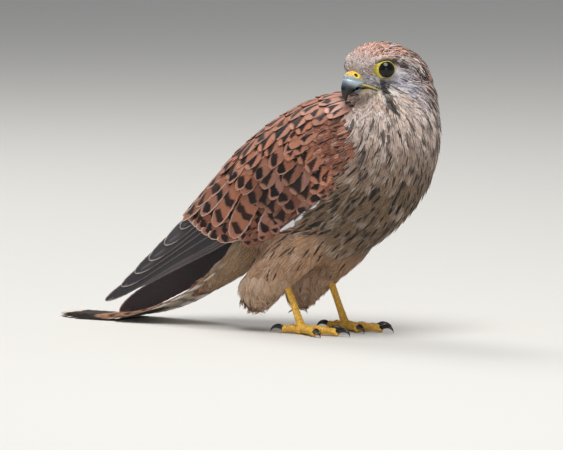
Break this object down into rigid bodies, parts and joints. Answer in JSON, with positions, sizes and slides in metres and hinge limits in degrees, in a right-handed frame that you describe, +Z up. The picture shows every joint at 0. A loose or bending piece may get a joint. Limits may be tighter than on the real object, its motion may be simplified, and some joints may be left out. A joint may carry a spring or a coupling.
{
  "type": "kestrel",
  "caption": "Life-size standing common kestrel with folded wings, its head turned back over the right shoulder, resting on its feet and tail.",
  "frame": {"origin": "middle of the bird's bounds, on the floor it stands on", "axes": "+Z up; the body faces -Y, so the bird's left side is +X; the head is turned to its right, towards -X"},
  "size_m": [0.077, 0.28, 0.1825],
  "materials": {
    "head_feathers": "soft feathers, finely streaked",
    "breast_feathers": "soft loose feathers, buff with dark streaks",
    "rufous_feathers": "smooth vanes, barred",
    "slate_feathers": "smooth stiff vanes",
    "tail_feathers": "smooth stiff vanes, barred",
    "under_feathers": "soft plain feathers",
    "bare_yellow_skin": "satin bare skin",
    "bill_horn": "polished horn",
    "claw_horn": "polished horn",
    "leg_scales": "scaled skin",
    "eye": "wet and glossy"
  },
  "bodies": {
    "root": {"head": "head_feathers", "neck": "breast_feathers", "torso": "breast_feathers", "cere": "bare_yellow_skin", "bill_upper": "bill_horn", "bill_lower": "bill_horn", "eye_right": "eye", "eye_left": "eye", "tail_coverts": "under_feathers", "tail": "tail_feathers", "wing_right": "rufous_feathers", "secondaries_right": "rufous_feathers", "primaries_right": "slate_feathers", "thigh_right": "breast_feathers", "tarsus_right": "leg_scales", "foot_right": "leg_scales", "toe_right_inner": "leg_scales", "claw_right_inner": "claw_horn", "toe_right_middle": "leg_scales", "claw_right_middle": "claw_horn", "toe_right_outer": "leg_scales", "claw_right_outer": "claw_horn", "toe_right_hind": "leg_scales", "claw_right_hind": "claw_horn", "wing_left": "rufous_feathers", "secondaries_left": "rufous_feathers", "primaries_left": "slate_feathers", "thigh_left": "breast_feathers", "tarsus_left": "leg_scales", "foot_left": "leg_scales", "toe_left_inner": "leg_scales", "claw_left_inner": "claw_horn", "toe_left_middle": "leg_scales", "claw_left_middle": "claw_horn", "toe_left_outer": "leg_scales", "claw_left_outer": "claw_horn", "toe_left_hind": "leg_scales", "claw_left_hind": "claw_horn"}
  },
  "joints": []
}
